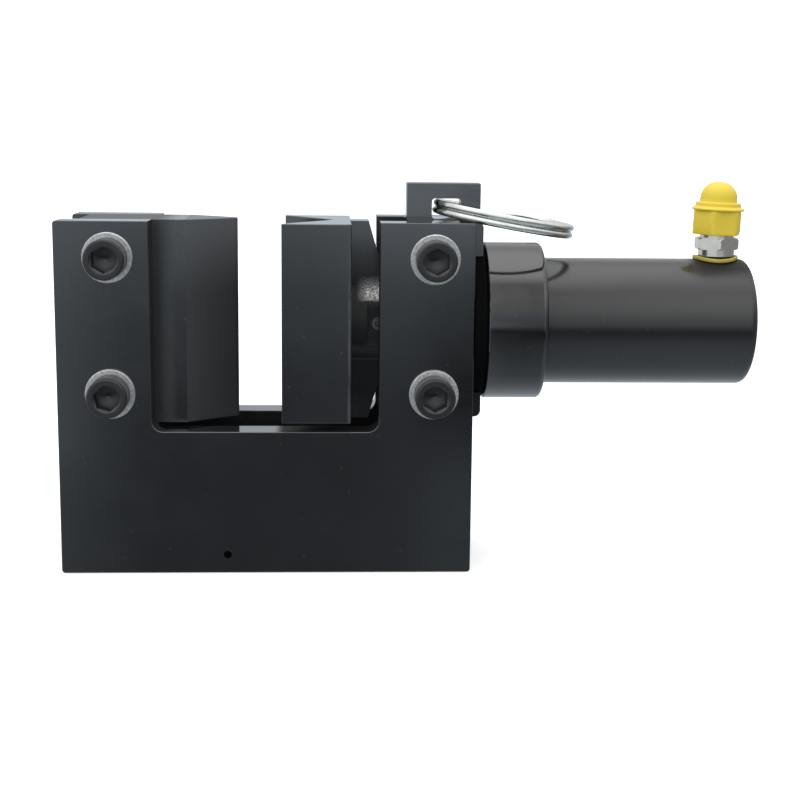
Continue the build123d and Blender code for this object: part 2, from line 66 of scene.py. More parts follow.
# In front, a table and a ceiling with a darker stretch between, in columns from left to right
front_table = [(-1.0, 0.55), (-0.77, 0.52), (-0.5, 0.36)]
front_ceiling = [(0.12, 0.84), (0.37, 1.22), (0.63, 1.48), (0.86, 1.30), (0.95, 1.50), (1.0, 2.05)]
front_left = [(-0.3, 0.36), (-0.225, 0.34), (-0.205, 0.62), (-0.14, 0.52), (-0.1, 0.64), (-0.06, 0.90)]
front_middle = [(-0.36, 0.13), (-0.2, 0.125), (-0.165, 0.14), (-0.115, 0.25), (-0.085, 0.36), (-0.055, 0.70)]
front_inner = [(-0.36, 0.13), (-0.2, 0.14), (-0.17, 0.20), (-0.127, 0.33), (-0.085, 0.47), (-0.06, 1.0)]
front_inner += [(-0.03, 1.2)]
front_right = [(-0.3, 0.34), (-0.24, 0.40), (-0.205, 0.22), (-0.18, 0.03), (-0.15, 0.02), (-0.125, 0.12)]
front_right += [(-0.095, 0.34), (-0.085, 0.75), (-0.06, 1.10), (-0.03, 1.30)]
collar_table = [(-1.0, 0.38), (-0.77, 0.18), (-0.5, 0.10), (-0.36, 0.06), (-0.2, 0.02), (-0.1, 0.05)]
collar_table += [(0.0, 0.15)]
collar_ceiling = [(0.12, 0.22), (0.37, 0.28), (0.63, 0.34), (0.86, 0.44), (0.95, 2.0), (1.0, 2.05)]
front_far = [(-0.36, 0.15), (-0.26, 0.05), (-0.2, 0.08), (-0.135, 0.24), (-0.1, 0.38), (-0.06, 0.66)]
front_rooms = [
    front_table + front_left + front_ceiling,
    front_table + front_middle + front_ceiling,
    front_table + front_inner + front_ceiling,
    front_table + front_right + front_ceiling,
    collar_table + collar_ceiling,
    front_table + front_far + front_ceiling,
]
front_blends = [(-0.18, -0.13), (0.0, 0.03), (0.05, 0.09), (0.1, 0.115), (0.145, 0.16)]

# Behind, and at the cylinder's end
rear_room = [(-1.0, 0.55), (-0.85, 0.70), (-0.5, 0.78), (-0.02, 0.68), (0.1, 0.74), (0.37, 0.82)]
rear_room += [(0.69, 0.90), (0.86, 1.56), (1.0, 2.05)]
rear_blend = (-0.15, 0.25)
right_room = [(-1.0, 0.50), (-0.5, 0.36), (-0.25, 0.20), (0.0, 0.28), (0.18, 0.42), (0.4, 0.90)]
right_room += [(0.7, 1.10), (1.0, 2.05)]
right_blend = (0.38, 0.75)

# Sizes of the CAD model that the drawn pieces and the places of another finish go by
plate_right = 0.125
plate_height = 0.2145
plate_corner = 0.002
inner_face = 0.026
outer_face = 0.046
window_right = 0.068
axis_height = 0.15125
die_back = 0.051
die_half = 0.047
die_rib_low = 0.0904
boss_radius = 0.025
boss_flat = 0.021

# Where the finish changes, where painted light and painted shade start, and the soft step of it just past a
# face
punch_shoulder = -0.0494
painted_tone_from = 0.17
shade_left = 0.004
shade_low = 0.05
recess_start = 0.1252
recess_radius = 0.0497
collar_face = 0.1327
past_start = 0.0002
past_end = 0.0006

# Textures: stretch along each axis, usual range of a noise, repeats per metre, shares, swings and sizes
even_grain = (1, 1, 1)
level_grain = (1, 1, 14)
upright_grain = (14, 14, 1)
turned_grain = (40, 1, 1)
noise_low = 0.3
noise_high = 0.7
cloud_scale = 22
speck_scale = 1100
drawn_scale = 60
scuff_scale = 220
bare_scale = 900
rub_scale = 160
flow_scale = 60
skin_scale = 1500
scratch_share = 0.25
scuff_share = 0.3
drawn_swing = 0.015
cloud_swing = 0.03
metal_swing = 0.06
skin_swing = 0.05
bump_depth = 0.0001
edge_width = 0.0008

# Meshes drawn here: angle of a sharp edge, and height of a wire's domed end as a share of its radius
sharp_angle = radians(35)
wire_dome = 0.35

# Cap screws
screw_x = {"punch_screws": -0.093, "head_screws": 0.101}
screw_turns = {"punch_screws": (44, 29), "head_screws": (28, 33)}
screw_heights = (0.1115, 0.193)
washer_thickness = 0.003
screw_radius = 0.008
screw_length = 0.043
screw_chamfer = 0.001
head_radius = 0.012
head_height = 0.016
head_round = 0.0012
head_foot = 0.0004
knurl_teeth = 72
knurl_depth = 0.00024
knurl_low = 0.0012
knurl_high = 0.0125
knurl_fade = 0.0003
socket_half = 0.007
socket_mouth = 0.0084
socket_rim = 0.0002
socket_depth = 0.009
socket_drill = 0.0044
socket_point = 0.0026
socket_tip = 0.0002

# Carry ring
ring_radius = 0.0424
ring_wire = 0.0022
ring_layer = 0.0044
ring_rest = 0.0001
ring_left = 0.1043
ring_pivot_z = 0.22245
ring_cross_at = radians(90)
ring_cross_span = radians(44)
ring_end_gap = 0.0015

# Springs
return_wire = 0.0025
return_radius = 0.02375
return_ends = (0.1547, 0.2473)
return_turns = 8
valve_wire = 0.00045
valve_radius = 0.0032
valve_ends = (0.1991, 0.2081)
valve_turns = 5

# Tether ring and dust cap on the oil coupler
coupler_x = 0.2814
barrel_radius = 0.0395
tether_shift = -0.0005
tether_inner = 0.0119
tether_outer = 0.0141
tether_low = 0.1908
tether_thickness = 0.0024
tether_edge = 0.0007
tether_sag = 0.75
cap_low = 0.20605
skirt_top = 0.22095
skirt_half = 0.0138
skirt_corner = 0.003
skirt_turn = radians(7.5)
skirt_edge = 0.0006
skirt_neck = 0.0006
cap_bore = 0.011
cap_bore_top = 0.22315
cap_bore_corner = 0.0005
cap_roof_inset = 0.004
lip_radius = 0.0162
lip_low = 0.22115
lip_top = 0.22385
lip_rim = 0.0008
lip_inset = 0.0012
lip_dip = 0.0004
bead_radius = 0.014
bead_top = 0.22625
bead_edge = 0.0009
dome_radius = 0.0115
dome_top = 0.23905
dome_round = 0.0104
foot_wide = 0.0005
foot_narrow = 0.0001
foot_rise = 0.0003
rib_pitch = 0.0016
rib_depth = 0.00028
rib_reach = 0.0068
rib_start = 0.0016
rib_end = 0.0014
rib_fade = 0.0008
nub_turn = radians(-8)
nub_radius = 0.0009
nub_inset = 0.0005
nub_drop = 0.0003
cap_lean = radians(2.1)
cap_shift = -0.0003
cap_settle = 0.00006


def place_camera():
    data = bpy.data.cameras.new("photo_camera")
    data.sensor_width = camera_sensor_mm
    data.lens = camera_lens_mm
    data.clip_start = 0.01
    data.clip_end = 50
    camera = bpy.data.objects.new("photo_camera", data)
    bpy.context.scene.collection.objects.link(camera)
    turn = Matrix.Rotation(-camera_yaw, 4, "Z")
    tilt = Matrix.Rotation(pi / 2 - camera_pitch, 4, "X")
    roll = Matrix.Rotation(camera_roll, 4, "Z")
    camera.matrix_world = Matrix.Translation(camera_place) @ turn @ tilt @ roll
    bpy.context.scene.camera = camera


# Node helpers


def new_material(name):
    material = bpy.data.materials.new(name)
    material.use_nodes = True
    return material, material.node_tree


def add(tree, kind, **settings):
    node = tree.nodes.new(kind)
    for key, value in settings.items():
        setattr(node, key, value)
    return node


def join(tree, source, target):
    tree.links.new(source, target)


def stretched(tree, scale, turn=(0, 0, 0)):
    """Object coordinates stretched by a factor on each axis, after a turn."""
    place = add(tree, "ShaderNodeTexCoord")
    mapping = add(tree, "ShaderNodeMapping")
    mapping.inputs["Scale"].default_value = scale
    mapping.inputs["Rotation"].default_value = turn
    join(tree, place.outputs["Object"], mapping.inputs["Vector"])
    return mapping.outputs["Vector"]


def axes(tree):
    """Object coordinates taken apart."""
    place = add(tree, "ShaderNodeTexCoord")
    parts = add(tree, "ShaderNodeSeparateXYZ")
    join(tree, place.outputs["Object"], parts.inputs["Vector"])
    return parts.outputs["X"], parts.outputs["Y"], parts.outputs["Z"]


def noise(tree, vector, scale, detail=4.0, rough=0.55):
    node = add(tree, "ShaderNodeTexNoise")
    node.inputs["Scale"].default_value = scale
    node.inputs["Detail"].default_value = detail
    node.inputs["Roughness"].default_value = rough
    join(tree, vector, node.inputs["Vector"])
    return node.outputs["Fac"]


def ramp(tree, value, stops):
    """Colour ramp with (place, colour) stops."""
    node = add(tree, "ShaderNodeValToRGB")
    elements = node.color_ramp.elements
    while len(elements) < len(stops):
        elements.new(0.5)
    for element, (place, colour) in zip(elements, stops):
        element.position = place
        element.color = (*colour, 1.0)
    join(tree, value, node.inputs["Fac"])
    return node.outputs["Color"]


def span(tree, value, low, high, new_low, new_high):
    node = add(tree, "ShaderNodeMapRange")
    for key, number in zip(("From Min", "From Max", "To Min", "To Max"), (low, high, new_low, new_high)):
        node.inputs[key].default_value = number
    join(tree, value, node.inputs["Value"])
    return node.outputs["Result"]


def rise(tree, value, low, high, top=1.0):
    """Nought at low, growing evenly to top at high."""
    return span(tree, value, low, high, 0.0, top)


def past(tree, value, face, way=1, top=1.0):
    """Nought up to a face and top just past it, on the side that way gives."""
    return rise(tree, value, face + way * past_start, face + way * past_end, top)


def swing(tree, value, middle, reach):
    """Middle less reach to middle plus reach, over the usual range of a noise."""
    return span(tree, value, noise_low, noise_high, middle - reach, middle + reach)


def two_tone(tree, value, dark, light):
    """Dark to light over the usual range of a noise."""
    return ramp(tree, value, [(noise_low, dark), (noise_high, light)])


def grey(share):
    return (share, share, share)


def mix_colour(tree, share, first, second):
    node = add(tree, "ShaderNodeMix", data_type="RGBA")
    join(tree, share, node.inputs["Factor"])
    for value, socket in ((first, node.inputs["A"]), (second, node.inputs["B"])):
        if isinstance(value, tuple):
            socket.default_value = (*value, 1.0)
        else:
            join(tree, value, socket)
    return node.outputs["Result"]


def mix_value(tree, share, first, second):
    node = add(tree, "ShaderNodeMix", data_type="FLOAT")
    join(tree, share, node.inputs["Factor"])
    for value, socket in ((first, node.inputs["A"]), (second, node.inputs["B"])):
        if isinstance(value, (int, float)):
            socket.default_value = value
        else:
            join(tree, value, socket)
    return node.outputs["Result"]


def arithmetic(tree, operation, first, second):
    node = add(tree, "ShaderNodeMath", operation=operation)
    for value, socket in zip((first, second), node.inputs):
        if isinstance(value, (int, float)):
            socket.default_value = value
        else:
            join(tree, value, socket)
    return node.outputs["Value"]


def times(tree, first, second):
    return arithmetic(tree, "MULTIPLY", first, second)


def larger(tree, first, second):
    return arithmetic(tree, "MAXIMUM", first, second)


def edge_mask(tree, radius):
    """One near sharp edges, nought on flat faces."""
    bevel = add(tree, "ShaderNodeBevel", samples=6)
    bevel.inputs["Radius"].default_value = radius
    geometry = add(tree, "ShaderNodeNewGeometry")
    dot = add(tree, "ShaderNodeVectorMath", operation="DOT_PRODUCT")
    join(tree, bevel.outputs["Normal"], dot.inputs[0])
    join(tree, geometry.outputs["Normal"], dot.inputs[1])
    return rise(tree, dot.outputs["Value"], 0.995, 0.9)


def bumped(tree, height, strength):
    node = add(tree, "ShaderNodeBump")
    node.inputs["Strength"].default_value = strength
    node.inputs["Distance"].default_value = bump_depth
    join(tree, height, node.inputs["Height"])
    return node.outputs["Normal"]


# Materials


def scratches(tree):
    """Few thin scratches, in two slanting directions."""
    first = noise(tree, stretched(tree, (260, 260, 9), (0.3, 0.5, 0)), 1.0, 2)
    second = noise(tree, stretched(tree, (10, 300, 300), (0.2, 0.9, 0.1)), 1.0, 2)
    both = larger(tree, first, second)
    return rise(tree, both, 0.78, 0.84)


def scuffs(tree):
    """Small scattered dots, in one cell of ten."""
    cells = add(tree, "ShaderNodeTexVoronoi")
    cells.inputs["Scale"].default_value = scuff_scale
    join(tree, stretched(tree, even_grain), cells.inputs["Vector"])
    parts = add(tree, "ShaderNodeSeparateColor")
    join(tree, cells.outputs["Color"], parts.inputs["Color"])
    near = rise(tree, cells.outputs["Distance"], 0.16, 0.08)
    return times(tree, near, rise(tree, parts.outputs["Red"], 0.88, 0.92))


def black_oxide(name, dark, light, worn, roughness, ior, grain, edge_wear=0.7, places=()):
    """Blackened steel: cloudy tone, scratches and scuffs, edges worn bright, and places of another look,
    among them painted light and painted shade.
    """
    material, tree = new_material(name)
    shader = tree.nodes["Principled BSDF"]
    even = stretched(tree, even_grain)
    clouds = noise(tree, even, cloud_scale, 5)
    speck = noise(tree, even, speck_scale, 2)
    drawn = noise(tree, stretched(tree, grain), drawn_scale, 3)
    tone = two_tone(tree, clouds, dark, light)
    edges = times(tree, edge_mask(tree, edge_width), span(tree, speck, 0.35, 0.65, 0.4, 1.0))
    marks = larger(tree, times(tree, scratches(tree), scratch_share), times(tree, scuffs(tree), scuff_share))
    tone = mix_colour(tree, larger(tree, times(tree, edges, edge_wear), marks), tone, worn)
    rough = swing(tree, drawn, roughness, drawn_swing)
    rough = arithmetic(tree, "ADD", rough, swing(tree, clouds, 0.0, cloud_swing))
    extras = {"Specular IOR Level": 0.5, "Metallic": 0.0}
    for mask, look in places:
        share = mask(tree)
        tone = mix_colour(tree, share, tone, look["colour"])
        rough = mix_value(tree, share, rough, look["roughness"])
        for socket, value in look.get("extras", {}).items():
            extras[socket] = mix_value(tree, share, extras[socket], value)
            join(tree, extras[socket], shader.inputs[socket])
    join(tree, tone, shader.inputs["Base Color"])
    join(tree, rough, shader.inputs["Roughness"])
    shader.inputs["IOR"].default_value = ior
    height = arithmetic(tree, "ADD", speck, times(tree, drawn, 0.3))
    join(tree, bumped(tree, height, 0.03), shader.inputs["Normal"])
    return material


def from_axis(tree, y, z):
    """Distance from the cylinder's line."""
    up = arithmetic(tree, "SUBTRACT", z, axis_height)
    return arithmetic(tree, "SQRT", arithmetic(tree, "ADD", times(tree, y, y), times(tree, up, up)), 0.0)


def bare_boss_highlight(tree):
    """Up to one on the upper round of the ram's boss, where the finish has rubbed off in specks, kept to the
    band where the highlight falls: bare metal and painted highlight.
    """
    x, y, z = axes(tree)
    along = rise(tree, x, die_back + 0.0035, die_back + 0.0100)
    off_flat = rise(tree, y, -boss_flat - 0.0002, -boss_flat + 0.0008)
    above = rise(tree, z, axis_height + 0.0095, axis_height + 0.0155)
    below = rise(tree, z, axis_height + boss_radius + 0.0035, axis_height + boss_radius - 0.0025)
    specks = span(tree, noise(tree, stretched(tree, even_grain), bare_scale, 3), 0.40, 0.60, 0.2, 1.0)
    return times(tree, times(tree, along, off_flat), times(tree, times(tree, above, below), specks))


def painted_back_shade(tree):
    """Nearly one on the die's rib and boss behind its back face, apart from the rib's top: painted shade,
    darker towards the bottom.
    """
    x, _, z = axes(tree)
    return times(tree, past(tree, x, die_back, top=0.9), rise(tree, z, plate_height - 0.0095, painted_tone_from))


def painted_fill_under_boss(tree):
    """One on the lower round of the ram's boss: a lighter colour that is painted light, lifting its shaded
    underside.
    """
    x, _, z = axes(tree)
    bottom = axis_height - boss_radius
    within = times(tree, rise(tree, z, axis_height - 0.012, axis_height - 0.016),
                   rise(tree, z, bottom + 0.0005, bottom + 0.0015))
    return times(tree, within, past(tree, x, die_back))


def rubbed_glinting_rim(tree):
    """Up to one along the die's upright rear edges and at the foot of its rib, broken up in specks: worn
    oxide, and at the rib's foot a painted highlight where its chamfers catch light.
    """
    x, y, z = axes(tree)
    depth = arithmetic(tree, "ABSOLUTE", y, 0.0)
    edge = times(tree, rise(tree, depth, die_half - 0.0030, die_half - 0.0024),
                 rise(tree, x, die_back - 0.0024, die_back - 0.0014))
    foot = times(tree, rise(tree, x, die_back + 0.0004, die_back + 0.0010, 0.8),
                 rise(tree, z, die_rib_low + 0.0166, die_rib_low + 0.0086))
    specks = span(tree, noise(tree, stretched(tree, (1, 1, 0.3)), rub_scale, 3), 0.36, 0.56, 0.15, 1.0)
    return times(tree, larger(tree, edge, foot), specks)


def painted_window_shade(tree):
    """Up to three quarters of painted shade on the window's floor under the die and on the window's right
    side.
    """
    x, y, z = axes(tree)
    depth = arithmetic(tree, "ABSOLUTE", y, 0.0)
    within = times(tree, past(tree, depth, inner_face), past(tree, depth, outer_face, way=-1))
    along = times(tree, rise(tree, x, shade_left, shade_left + 0.006, 0.75),
                  rise(tree, x, window_right + 0.0003, window_right + 0.0001))
    return times(tree, times(tree, within, along), rise(tree, z, shade_low, shade_low + 0.010))


def dull_lit_flanks(tree):
    """One on the punch's two flanks, from its shoulder to its nose: a rougher finish whose lighter colour is
    painted light.
    """
    return rise(tree, axes(tree)[0], punch_shoulder, punch_shoulder + 0.0006)


def painted_side_shade(tree):
    """Less than half on the punch's sides next to the plates' arms: painted shade where the arms shade them.
    """
    return rise(tree, axes(tree)[0], punch_shoulder - 0.0056, punch_shoulder - 0.0166, 0.45)


def painted_light_top(tree):
    """Nine tenths of painted light along the punch's top, less on its sides than on its flanks."""
    x, _, z = axes(tree)
    along = span(tree, x, punch_shoulder - 0.0005, punch_shoulder + 0.0005, 0.35, 1.0)
    return times(tree, along, rise(tree, z, painted_tone_from, plate_height - 0.006, 0.9))


def painted_recess_shade(tree):
    """One in the round recess between the head block and the collar: painted shade for the recess's shadow.
    """
    x, y, z = axes(tree)
    inside = rise(tree, from_axis(tree, y, z), recess_radius, recess_radius - 0.0002)
    return times(tree, inside, rise(tree, x, recess_start, recess_start + 0.0001))


def oily_shaded_crown(tree):
    """Up to nine tenths on the barrel's crown, about the oil coupler and on to the rim: oil, and painted
    shade about the fitting.
    """
    x, _, z = axes(tree)
    above = rise(tree, z, axis_height + 0.0270, axis_height + 0.0345, 0.9)
    return times(tree, above, rise(tree, x, coupler_x - 0.022, coupler_x - 0.012))


def painted_face_shade(tree):
    """One on the collar's face towards the head block: painted shade for the shadowed gap."""
    return rise(tree, axes(tree)[0], collar_face + 0.0001, collar_face)


def metal(name, dark, light, roughness, scale):
    """Bare or plated metal with a mottled tone."""
    material, tree = new_material(name)
    shader = tree.nodes["Principled BSDF"]
    even = stretched(tree, even_grain)
    mottle = noise(tree, even, scale, 4)
    fine = noise(tree, even, scale * 6, 2)
    join(tree, two_tone(tree, mottle, dark, light), shader.inputs["Base Color"])
    join(tree, swing(tree, fine, roughness, metal_swing), shader.inputs["Roughness"])
    shader.inputs["Metallic"].default_value = 1.0
    join(tree, bumped(tree, fine, 0.15), shader.inputs["Normal"])
    return material


def plastic(name, dark, light, roughness):
    """Moulded plastic with a faint flow in its colour and a fine skin."""
    material, tree = new_material(name)
    shader = tree.nodes["Principled BSDF"]
    even = stretched(tree, even_grain)
    flow = noise(tree, even, flow_scale, 3)
    skin = noise(tree, even, skin_scale, 2)
    join(tree, two_tone(tree, flow, dark, light), shader.inputs["Base Color"])
    join(tree, swing(tree, skin, roughness, skin_swing), shader.inputs["Roughness"])
    join(tree, bumped(tree, skin, 0.08), shader.inputs["Normal"])
    return material


# Looks of the places on blackened steel, among them painted shade and painted light
# Painted shade: near black, with next to no reflection, for shadowed recesses and gaps
painted_shade = {"colour": (0.003, 0.003, 0.0032), "roughness": 0.8, "extras": {"Specular IOR Level": 0.02}}
# Dark oily film, standing both for oil and for painted shade
oil_and_shade_film = {"colour": (0.013, 0.013, 0.014), "roughness": 0.6, "extras": {"Specular IOR Level": 0.15}}
# Painted light: a lighter grey lifting shaded undersides
painted_fill_film = {"colour": (0.088, 0.088, 0.089), "roughness": 0.6, "extras": {"Specular IOR Level": 0.15}}
# Lighter worn oxide: wear on the die's rear edges, painted highlight at the rib's foot
rubbed_glint_oxide = {"colour": (0.028, 0.0275, 0.027), "roughness": 0.4}
# Bare metal, placed only where the boss's highlight falls: wear and painted highlight
bright_metal_highlight = {"colour": (0.66, 0.66, 0.64), "roughness": 0.5, "extras": {"Metallic": 1.0}}
# Rougher oxide for the punch's flanks, its lighter colour painted light
dull_lit_oxide = {"colour": (0.028, 0.0295, 0.0315), "roughness": 0.46}
# Painted light: a much lighter oxide for the brightly lit top of the punch
painted_light_oxide = {"colour": (0.085, 0.090, 0.096), "roughness": 0.46}
die_places = [
    (painted_back_shade, oil_and_shade_film),
    (painted_fill_under_boss, painted_fill_film),
    (rubbed_glinting_rim, rubbed_glint_oxide),
    (bare_boss_highlight, bright_metal_highlight),
]
punch_places = [(dull_lit_flanks, dull_lit_oxide), (painted_light_top, painted_light_oxide), (painted_side_shade, painted_shade)]

plate_look = {
    "dark": (0.0072, 0.0077, 0.0085), "light": (0.0092, 0.0098, 0.0107), "worn": grey(0.10),
    "roughness": 0.11, "ior": 1.9, "grain": level_grain, "edge_wear": 0.25,
}

# Finish of each material slot
finishes = {
    # Painted shade in the window under the die and on its right side
    "black_steel": black_oxide("plate_black", **plate_look, places=[(painted_window_shade, painted_shade)]),
    "black_tool_steel": black_oxide(
        "tool_black", dark=(0.0080, 0.0085, 0.0094), light=(0.0100, 0.0106, 0.0116), worn=grey(0.16),
        roughness=0.12, ior=1.9, grain=upright_grain, edge_wear=0.8, places=die_places),
    "black_barrel": black_oxide(
        "barrel_black", dark=(0.0120, 0.0123, 0.0125), light=(0.0145, 0.0148, 0.0150), worn=grey(0.10),
        roughness=0.18, ior=1.65, grain=turned_grain, places=[(oily_shaded_crown, oil_and_shade_film)]),
    "black_screw": black_oxide(
        "screw_black", dark=(0.0098, 0.0098, 0.0102), light=(0.0142, 0.0142, 0.0150), worn=grey(0.12),
        roughness=0.3, ior=1.6, grain=even_grain),
    "zinc_washer": metal("washer_zinc", (0.46, 0.46, 0.45), (0.76, 0.76, 0.74), roughness=0.45, scale=700),
    "zinc_fitting": metal("fitting_zinc", (0.70, 0.65, 0.57), (0.82, 0.76, 0.67), roughness=0.22, scale=300),
    "ground_steel": metal("rod_ground", (0.48, 0.48, 0.49), (0.58, 0.58, 0.59), roughness=0.2, scale=400),
    "spring_steel": metal("spring_oiled", (0.22, 0.22, 0.24), (0.34, 0.34, 0.36), roughness=0.35, scale=400),
    "bright_ring": metal("ring_bright", (0.64, 0.65, 0.62), (0.78, 0.79, 0.76), roughness=0.17, scale=500),
    "bronze": metal("bush_bronze", (0.50, 0.32, 0.13), (0.60, 0.40, 0.18), roughness=0.3, scale=300),
    "rubber": plastic("seal_rubber", grey(0.015), grey(0.025), roughness=0.6),
    "wear_ring": plastic("wear_ring_brown", (0.22, 0.11, 0.06), (0.28, 0.15, 0.08), roughness=0.5),
    "yellow_plastic": plastic("cap_yellow", (0.86, 0.64, 0.050), (0.93, 0.70, 0.060), roughness=0.38),
}

# Pieces whose finish differs from the rest of their slot, some by painted light, some by painted shade
own_finishes = {
    # Rear plate: a lighter copy of the plates' oxide, painted light
    "rear_side_plate": black_oxide(
        "rear_plate_lit_black", dark=(0.020, 0.021, 0.0225), light=(0.025, 0.026, 0.0275), worn=grey(0.10),
        roughness=0.2, ior=1.9, grain=level_grain, edge_wear=0.25),
    "ram_set_screw": metal("grub_screw", grey(0.10), grey(0.20), roughness=0.35, scale=900),
    "fixed_punch": black_oxide(
        "punch_black", dark=(0.0065, 0.0069, 0.0075), light=(0.0085, 0.0090, 0.0098), worn=grey(0.12),
        roughness=0.13, ior=1.9, grain=upright_grain, places=punch_places),
    # Head block: painted shade in the recess by the collar
    "head_block": black_oxide("head_black", **plate_look, places=[(painted_recess_shade, painted_shade)]),
    # Collar: painted shade on its face in the gap by the head block
    "coupling_collar": black_oxide(
        "collar_black", dark=(0.0040, 0.0041, 0.0043), light=(0.0054, 0.0055, 0.0057), worn=grey(0.10),
        roughness=0.1, ior=1.85, grain=turned_grain, places=[(painted_face_shade, painted_shade)]),
    # Pin: near black with next to no reflection, painted shade of a dark pin hole
    "base_pin": black_oxide(
        "pin_hole_shade", dark=(0.002, 0.002, 0.0024), light=(0.003, 0.003, 0.0036), worn=grey(0.01),
        roughness=0.6, ior=1.3, grain=even_grain),
    # Hex sockets: darker than the heads, painted shade in the recesses
    "shaded_sockets": black_oxide(
        "socket_shade_black", dark=grey(0.004), light=grey(0.007), worn=grey(0.05), roughness=0.3, ior=1.58,
        grain=even_grain),
    "tether_ring": plastic("tether_yellow", (0.42, 0.34, 0.05), (0.55, 0.44, 0.07), roughness=0.45),
}


def dress_cad_nodes():
    for subpart in frame["record"]["subparts"]:
        node = nodes[subpart["node"]]
        node.data.materials.clear()
        node.data.materials.append(own_finishes.get(subpart["node"], finishes[subpart["material_slot"]]))


# Mesh helpers


def new_piece(name, points, faces, slot, body, stands_for):
    """Smooth-shaded mesh that moves with a body and stands for one CAD node."""
    mesh = bpy.data.meshes.new(name)
    mesh.from_pydata(points, [], faces)
    mesh.materials.append(own_finishes.get(stands_for, finishes[slot]))
    piece = bpy.data.objects.new(name, mesh)
    bpy.context.scene.collection.objects.link(piece)
    mesh.shade_smooth()
    mesh.set_sharp_from_angle(angle=sharp_angle)
    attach(piece, body)
    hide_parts(stands_for)
    return piece


def skin_rings(rows, columns, start, tip_low, tip_high):
    """Faces between equal rings of points numbered in order, closed by a tip point at either end."""
    faces = []
    for row in range(rows - 1):
        for column in range(columns):
            beside = (column + 1) % columns
            low = start + row * columns
            high = low + columns
            faces.append((low + column, low + beside, high + beside, high + column))
    last = start + (rows - 1) * columns
    for column in range(columns):
        beside = (column + 1) % columns
        faces.append((tip_low, start + beside, start + column))
        faces.append((tip_high, last + column, last + beside))
    return faces


def revolved(rows, columns, start=0):
    """Points and faces of a body of rotation: a row gives radius and height at an angle; the ends close."""
    points = []
    for row in rows:
        for column in range(columns):
            angle = 2 * pi * column / columns
            radius, height = row(angle)
            points.append(Vector((radius * cos(angle), radius * sin(angle), height)))
    total = len(points)
    tips = [sum(points[:columns], Vector()) / columns, sum(points[-columns:], Vector()) / columns]
    return points + tips, skin_rings(len(rows), columns, start, start + total, start + total + 1)


def level(radius, height):
    """Row of a body of rotation with one radius and height all round."""
    return lambda angle: (radius, height)


def arc_rows(radius, height, size, first, last, steps):
    """Rows along a quarter round about a circle of the given radius and height."""
    rows = []
    for step in range(steps + 1):
        turn = first + (last - first) * step / steps
        rows.append(level(radius + size * cos(turn), height + size * sin(turn)))
    return rows


def hexagon(angle, half, corner=0.0):
    """Radius of a hexagon with rounded corners, with a corner at nought."""
    away = (angle % (pi / 3)) - pi / 6
    if half * tan(abs(away)) <= (half - corner) * tan(pi / 6):
        return half / cos(away)
    centre = (half - corner) / cos(pi / 6)
    left = pi / 6 - abs(away)
    return centre * cos(left) + sqrt(corner ** 2 - (centre * sin(left)) ** 2)


def wire(points, radius, sides):
    """Points and faces of a round wire along a row of points, its cut ends slightly domed."""
    count = len(points)
    headings = [(points[min(i + 1, count - 1)] - points[max(i - 1, 0)]).normalized() for i in range(count)]
    across = headings[0].orthogonal().normalized()
    dome = [(wire_dome * sin(turn), cos(turn)) for turn in (radians(75), radians(50), radians(25))]
    stations = [(points[0] - headings[0] * radius * out, headings[0], radius * size) for out, size in dome]
    stations += [(point, heading, radius) for point, heading in zip(points, headings)]
    for out, size in reversed(dome):
        stations.append((points[-1] + headings[-1] * radius * out, headings[-1], radius * size))
    made = []
    for place, heading, size in stations:
        across = (across - heading * across.dot(heading)).normalized()
        other = heading.cross(across)
        for side in range(sides):
            turn = 2 * pi * side / sides
            made.append(place + (across * cos(turn) + other * sin(turn)) * size)
    total = len(made)
    made.append(points[0] - headings[0] * radius * wire_dome)
    made.append(points[-1] + headings[-1] * radius * wire_dome)
    return made, skin_rings(len(stations), sides, 0, total, total + 1)


# Pieces


def screw_rows():
    """Knurled cap screw on its seat, from the thread's end up, over the head and down the socket."""

    def knurled(angle, height):
        tooth = abs((angle * knurl_teeth / (2 * pi)) % 1 - 0.5) * 2
        return head_radius - knurl_depth * tooth, height

    def socket(angle, height=None):
        radius = hexagon(angle, socket_half)
        return radius, head_height - (socket_mouth - radius) if height is None else height

    rows = [level(screw_radius - screw_chamfer, -screw_length)]
    rows += [level(screw_radius, screw_chamfer - screw_length), level(screw_radius, 0)]
    rows += [level(head_radius - head_foot, 0), level(head_radius, head_foot)]
    rows += [level(head_radius, knurl_low - knurl_fade)]
    rows += [lambda angle: knurled(angle, knurl_low), lambda angle: knurled(angle, knurl_high)]
    rows += [level(head_radius, knurl_high + knurl_fade)]
    rows += arc_rows(head_radius - head_round, head_height - head_round, head_round, 0, pi / 2, 5)
    rows += [level(head_radius - head_round - socket_rim, head_height)]
    rows += [level(socket_mouth + 2 * socket_rim, head_height), level(socket_mouth + socket_rim, head_height)]
    rows += [level(socket_mouth, head_height - socket_rim / 2)]
    rows += [socket, lambda angle: socket(angle, head_height - socket_depth)]
    rows += [level(socket_drill, head_height - socket_depth)]
    rows += [level(socket_tip, head_height - socket_depth - socket_point)]
    return rows


